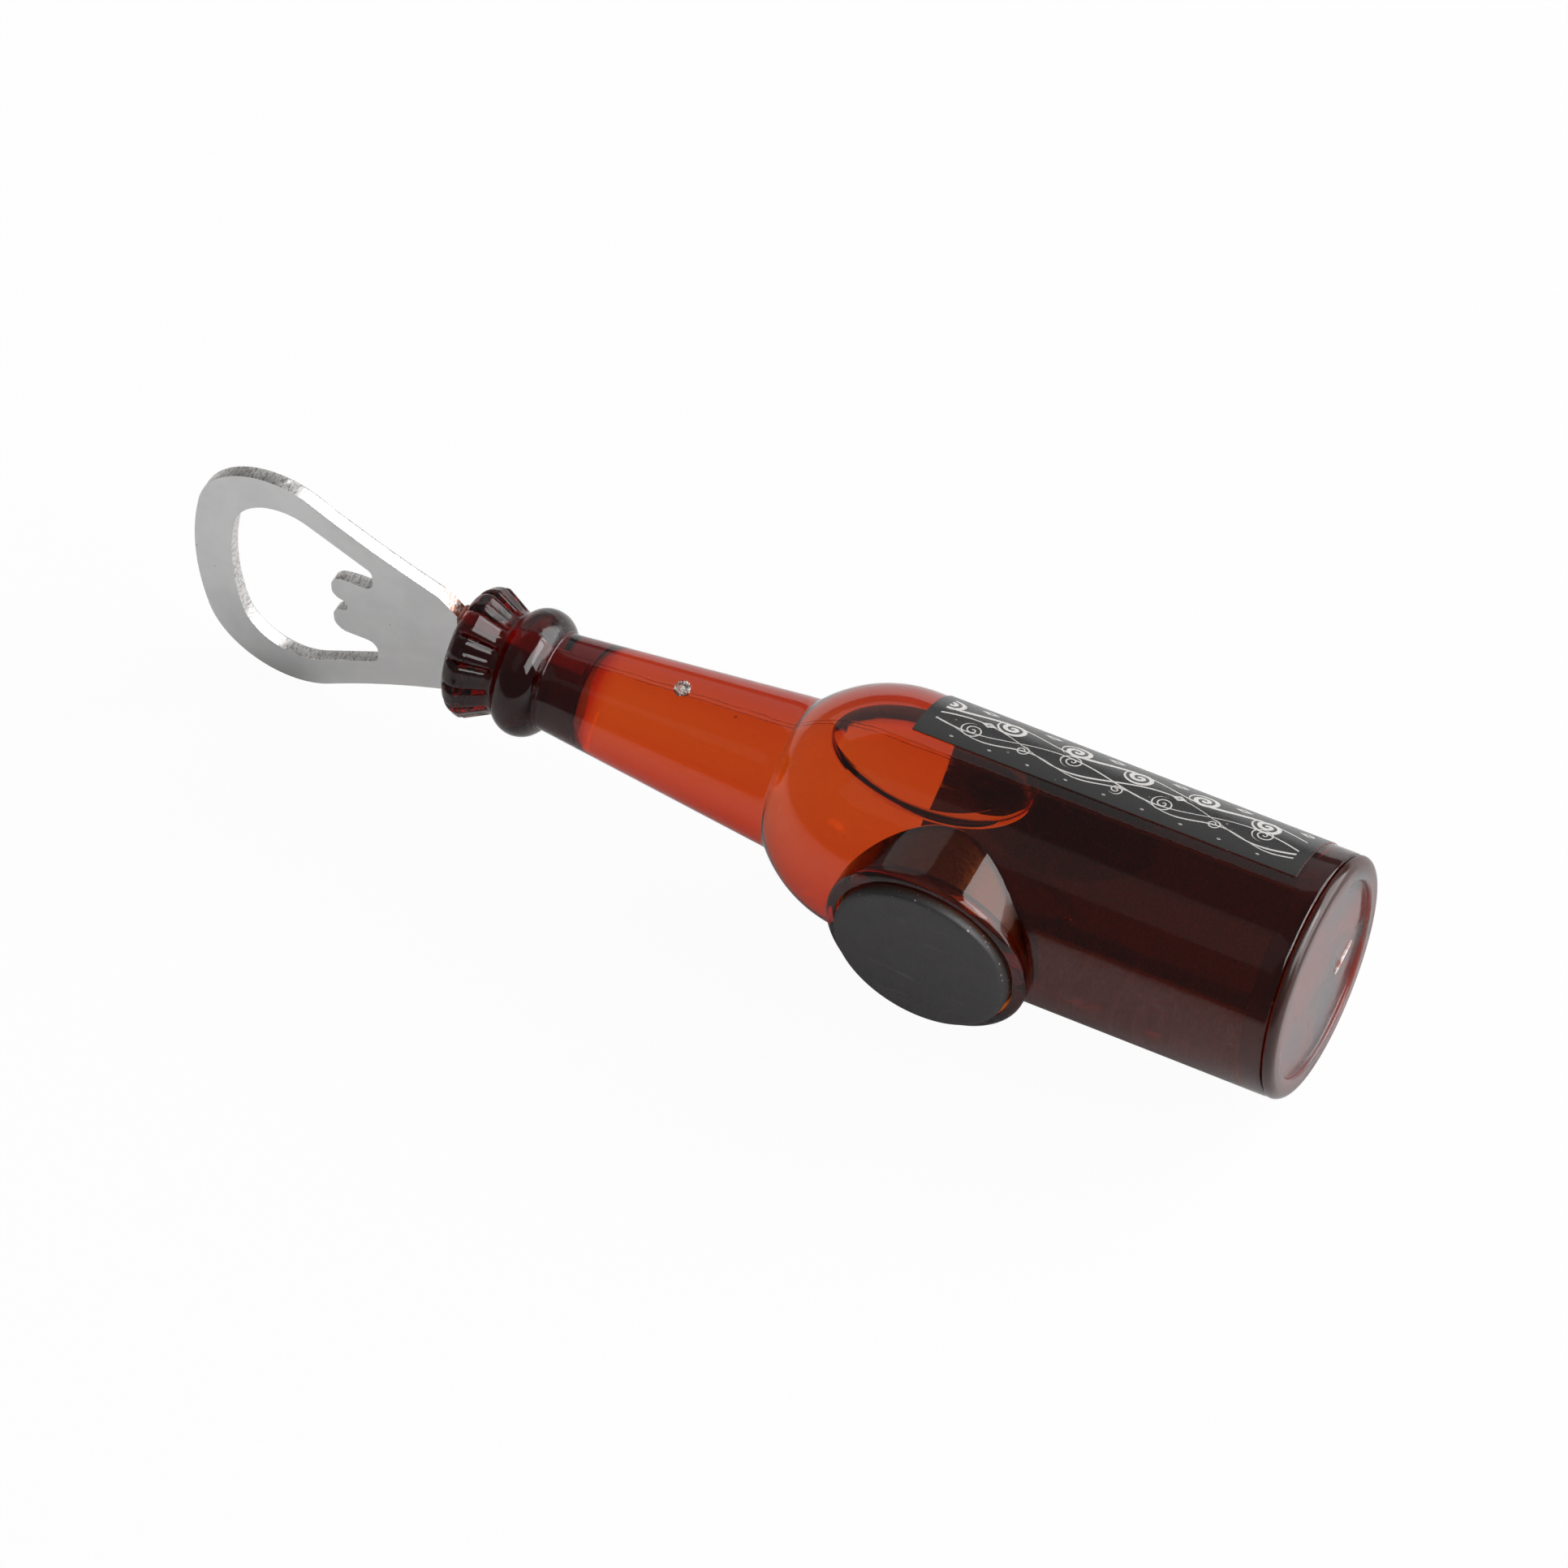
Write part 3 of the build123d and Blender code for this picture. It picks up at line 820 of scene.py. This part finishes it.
def dark_ferrite():
    """Sintered ferrite: dark grey, with a grainy skin and fine scratches, and with painted shade along its
    rim, flecked with painted glints.
    """
    material, tree, shader, place = new_material("dark_ferrite", Metallic=0.1, Specular_IOR_Level=0.5)
    uneven = placed(tree, grain, Place=place, Scale=420.0)
    pits = placed(tree, specks, Place=place, Scale=3500.0, Share=0.2, Size=0.22)["Mask"]
    glint_specks = placed(tree, specks, Place=place, Scale=2600.0, Share=0.35, Size=0.3)["Mask"]
    rubs = placed(tree, scratches, Place=place, Scale=500.0, Share=1.4)["Mask"]
    x, _, z = split(tree, place)
    ragged = plus(tree, reach(tree, x, z), times(tree, uneven["Fine"], 0.35 * MM))
    rim = ramp(tree, ragged, 8.7 * MM, 9.0 * MM)
    painted_glints = times(tree, rim, glint_specks, ramp(tree, uneven["Broad"], 0.4, 0.6))
    pit_and_rim_shade_colour = (0.02, 0.018, 0.018)
    colour = blend_colours(tree, uneven["Broad"], (0.05, 0.046, 0.047), (0.07, 0.065, 0.066))
    colour = stained(tree, colour, pits, 0.5, pit_and_rim_shade_colour)
    colour = stained(tree, colour, rubs, 0.3, (0.16, 0.15, 0.15))
    # Painted shade: the rim is darkened to tone down the highlight on its edge.
    colour = stained(tree, colour, rim, 0.5, pit_and_rim_shade_colour)
    # Painted glints: light flecks on the rim stand for the sparkle of light on its edge.
    colour = stained(tree, colour, painted_glints, 0.8, (0.5, 0.48, 0.48))
    feed(tree, shader, Base_Color=colour, Roughness=ramp(tree, uneven["Fine"], 0.3, 0.7, 0.42, 0.6),
         Normal=raised(tree, minus(tree, uneven["Fine"], pits), 0.4, 0.06 * MM))
    return material


def plated_steel():
    """Nickel-plated steel: satin faces, torn and rougher sheared sides, a brown stain by the cap, specks."""
    material, tree, shader, place = new_material("plated_steel", Metallic=1.0)
    uneven = placed(tree, grain, Place=place, Scale=160.0)
    dust = placed(tree, specks, Place=place, Scale=1100.0, Share=0.05, Size=0.2)["Mask"]
    rubs = placed(tree, scratches, Place=place, Scale=700.0, Share=1.0)["Mask"]
    x, _, _ = split(tree, place)
    _, facing_y, _ = split(tree, tree.nodes["Texture Coordinate"].outputs["Normal"])
    side = ramp(tree, sums(tree, "ABSOLUTE", facing_y), 0.5, 0.8, 1.0, 0.0)
    drawn_out = add_node(tree, "ShaderNodeMapping", {"Vector": place, "Scale": (1.0, 0.35, 1.0)}).outputs[0]
    tears = noise(tree, drawn_out, 5200.0, 4.0, 0.75)
    stain = times(tree, ramp(tree, x, along(92.0), along(89.4)), ramp(tree, tears, 0.45, 0.6, 1.0, 0.2), side)
    cloudy = ramp(tree, uneven["Broad"], 0.35, 0.65)
    face = blend_colours(tree, cloudy, (0.8, 0.797, 0.795), (0.86, 0.857, 0.855))
    sheared = blend_colours(tree, ramp(tree, tears, 0.4, 0.52), (0.42, 0.39, 0.37), (0.86, 0.85, 0.84))
    colour = stained(tree, blend_colours(tree, side, face, sheared), dust, 0.6, (0.2, 0.18, 0.16))
    colour = blend_colours(tree, stain, colour, (0.34, 0.13, 0.08))
    rough = plus(tree, ramp(tree, uneven["Fine"], 0.3, 0.7, 0.36, 0.44), times(tree, side, -0.06),
                 times(tree, rubs, 0.08))
    height = plus(tree, times(tree, uneven["Fine"], 0.15), times(tree, side, times(tree, tears, 2.0)))
    feed(tree, shader, Base_Color=colour, Roughness=rough, Normal=raised(tree, height, 0.3, 0.05 * MM))
    return material


def printed_paper():
    """Black printed wrap with a dull varnish, a pale ornament and a little wear, and a red back."""
    material, tree, shader, place = new_material("printed_paper", Specular_IOR_Level=0.8)
    uneven = placed(tree, grain, Place=place, Scale=500.0)
    dust = placed(tree, specks, Place=place, Scale=1300.0, Share=0.06, Size=0.22)["Mask"]
    x, y, z = split(tree, place)
    off_axis = minus(tree, y, axis_y)
    turn = sums(tree, "ARCTAN2", z, off_axis)
    across = times(tree, minus(tree, turn, radians(PRINT_MIDDLE_ANGLE)), PRINT_RADIUS)
    lengthways = times(tree, minus(tree, x, along(WRAP_START + WRAP_LENGTH / 2)), 1 / MM)
    ink = placed(tree, scrollwork, Across=across, Along=lengthways)["Ink"]
    from_middle = sums(tree, "ABSOLUTE", lengthways)
    printed = ramp(tree, from_middle, PRINT_HALF_LENGTH, PRINT_HALF_LENGTH + 0.1, 1.0, 0.0)
    ink = times(tree, ink, printed, ramp(tree, uneven["Fine"], 0.25, 0.45, 0.55, 1.0))
    at_back = ramp(tree, reach(tree, off_axis, z), 12.03 * MM, 12.06 * MM, 1.0, 0.0)
    blotches = ramp(tree, noise(tree, place, 230.0, 3.0, 0.6, 1.5), 0.5, 0.68)
    back = blend_colours(tree, blotches, (0.42, 0.17, 0.13), (0.62, 0.23, 0.16))
    colour = blend_colours(tree, uneven["Broad"], (0.008, 0.0075, 0.0075), (0.014, 0.013, 0.013))
    colour = blend_colours(tree, ink, colour, (0.62, 0.6, 0.58))
    colour = blend_colours(tree, at_back, colour, back)
    colour = stained(tree, colour, dust, 0.5, (0.3, 0.28, 0.27))
    feed(tree, shader, Base_Color=colour, Roughness=ramp(tree, uneven["Fine"], 0.3, 0.7, 0.2, 0.32),
         Normal=raised(tree, uneven["Fine"], 0.2, 0.04 * MM))
    return material


def dull_glue(name, low, high):
    """Set glue, a little cloudy, between two colours."""
    material, tree, shader, place = new_material(name, IOR=1.5)
    uneven = placed(tree, grain, Place=place, Scale=900.0)
    feed(tree, shader, Base_Color=blend_colours(tree, uneven["Broad"], low, high),
         Roughness=ramp(tree, uneven["Fine"], 0.3, 0.7, 0.12, 0.3),
         Normal=raised(tree, uneven["Broad"], 0.3, 0.2 * MM))
    return material


def rough_break():
    """Whitened, torn amber plastic where a gate was snipped off."""
    material, tree, shader, place = new_material("rough_break", Roughness=0.5)
    uneven = placed(tree, grain, Place=place, Scale=1800.0)
    colour = blend_colours(tree, ramp(tree, uneven["Broad"], 0.4, 0.6), (0.5, 0.22, 0.17), (0.9, 0.84, 0.82))
    feed(tree, shader, Base_Color=colour, Normal=raised(tree, uneven["Fine"], 0.6, 0.1 * MM))
    return material


# Pieces

# The magnet's glue is painted dark, partly as painted shade seen through the boss.
magnet_glue = dull_glue("magnet_glue", (0.05, 0.022, 0.017), (0.1, 0.04, 0.03))
# The tang's glue is dark brown, partly as painted shade in the neck round the tang.
tang_glue = dull_glue("tang_glue", (0.28, 0.1, 0.075), (0.4, 0.14, 0.1))
torn_plastic = rough_break()
# Each piece, the node that it replaces, its slot and its material
dressings = [
    (amber_bottle(), "bottle_shell", "amber_plastic", amber_plastic()),
    (foot_plug(), "base_plug", "plug_plastic", clouded_amber()),
    (clear_filling(), "liquid_filling", "clear_liquid", still_liquid()),
    (wrap_label(), "paper_label", "label_print", printed_paper()),
    (ferrite_disc(), "magnet_disc", "ferrite", dark_ferrite()),
    (magnet_bed(), "magnet_glue", "clear_glue", magnet_glue),
    (opener_ring(), "opener_blade", "nickel_steel", plated_steel()),
    (tang_bed(), "tang_glue", "clear_glue", tang_glue),
    (gate_mark("neck_gate", NECK_GATE, NECK_GATE_RADIUS), None, "amber_plastic", torn_plastic),
    (gate_mark("foot_gate", FOOT_GATE, FOOT_GATE_RADIUS, on_foot=True), None, "plug_plastic", torn_plastic),
]
for piece, node, slot, material in dressings:
    piece.data.materials.clear()
    piece.data.materials.append(material)
    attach(piece, "root")
    if node:
        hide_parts(node)

# Floor, world and lamps

FLOOR_SIZE = 6.0
WORLD_LIGHT = 0.17
WORLD_IN_GLOSS = 0.15
LAMP_DISTANCE = 0.9


def stage_floor():
    """Pale floor that keeps a light shadow. What each kind of ray sees is partly the floor's own glow, so
    that it looks white to the eye and light through the plastic."""
    bpy.ops.object.select_all(action="DESELECT")
    bpy.ops.mesh.primitive_plane_add(size=FLOOR_SIZE, location=(0, 0, cad_low[2]))
    floor = bpy.context.object
    floor.name = "floor"
    material = bpy.data.materials.new("floor")
    material.use_nodes = True
    tree = material.node_tree
    shader = tree.nodes["Principled BSDF"]
    shader.inputs["Base Color"].default_value = (0.86, 0.86, 0.86, 1)
    shader.inputs["Roughness"].default_value = 0.9
    rays = add_node(tree, "ShaderNodeLightPath").outputs
    share = times(tree, rays["Is Camera Ray"], 0.96)
    for kind, amount in (("Is Transmission Ray", 0.68), ("Is Glossy Ray", 0.03)):
        share = sums(tree, "MAXIMUM", share, times(tree, rays[kind], amount))
    glow = add_node(tree, "ShaderNodeEmission", {"Color": (1, 1, 1, 1), "Strength": 1.0}).outputs[0]
    both = add_node(tree, "ShaderNodeMixShader", {0: share, 1: shader.outputs[0], 2: glow})
    tree.links.new(both.outputs[0], tree.nodes["Material Output"].inputs["Surface"])
    floor.data.materials.append(material)


def pale_world():
    """Pale surroundings, white where they are seen."""
    world = bpy.data.worlds.new("world")
    scene.world = world
    world.use_nodes = True
    tree = world.node_tree
    rays = add_node(tree, "ShaderNodeLightPath").outputs
    light = ramp(tree, rays["Is Glossy Ray"], 0.0, 1.0, WORLD_LIGHT, WORLD_IN_GLOSS)
    background = tree.nodes["Background"].inputs
    background["Color"].default_value = (1, 1, 1, 1)
    tree.links.new(sums(tree, "MAXIMUM", rays["Is Camera Ray"], light), background["Strength"])


def soft_lamp(name, azimuth, elevation, width, height, watts, in_gloss_only=False):
    """Large soft lamp that faces the object. Its azimuth turns from +X towards +Y. Where it is in gloss
    only, it puts a highlight on shiny surfaces and lights nothing else."""
    lamp = bpy.data.lights.new(name, "AREA")
    lamp.shape = "RECTANGLE"
    lamp.size = width
    lamp.size_y = height
    lamp.energy = watts
    holder = bpy.data.objects.new(name, lamp)
    scene.collection.objects.link(holder)
    holder.visible_diffuse = not in_gloss_only
    holder.visible_transmission = not in_gloss_only
    aim = (cad_low + cad_high) / 2
    turn, rise = radians(azimuth), radians(elevation)
    outwards = Vector((cos(turn) * cos(rise), sin(turn) * cos(rise), sin(rise)))
    holder.location = aim + LAMP_DISTANCE * outwards
    holder.rotation_euler = (aim - holder.location).to_track_quat("-Z", "Y").to_euler()


stage_floor()
pale_world()
soft_lamp("key_lamp", azimuth=30, elevation=27, width=1.3, height=0.95, watts=16)
soft_lamp("back_lamp", azimuth=115, elevation=32, width=1.1, height=0.7, watts=0.9)
soft_lamp("front_lamp", azimuth=-119, elevation=60, width=0.5, height=0.5, watts=0.1)
soft_lamp("side_card", azimuth=-6, elevation=50, width=0.95, height=0.45, watts=6.0, in_gloss_only=True)
scene.view_settings.view_transform = "Standard"
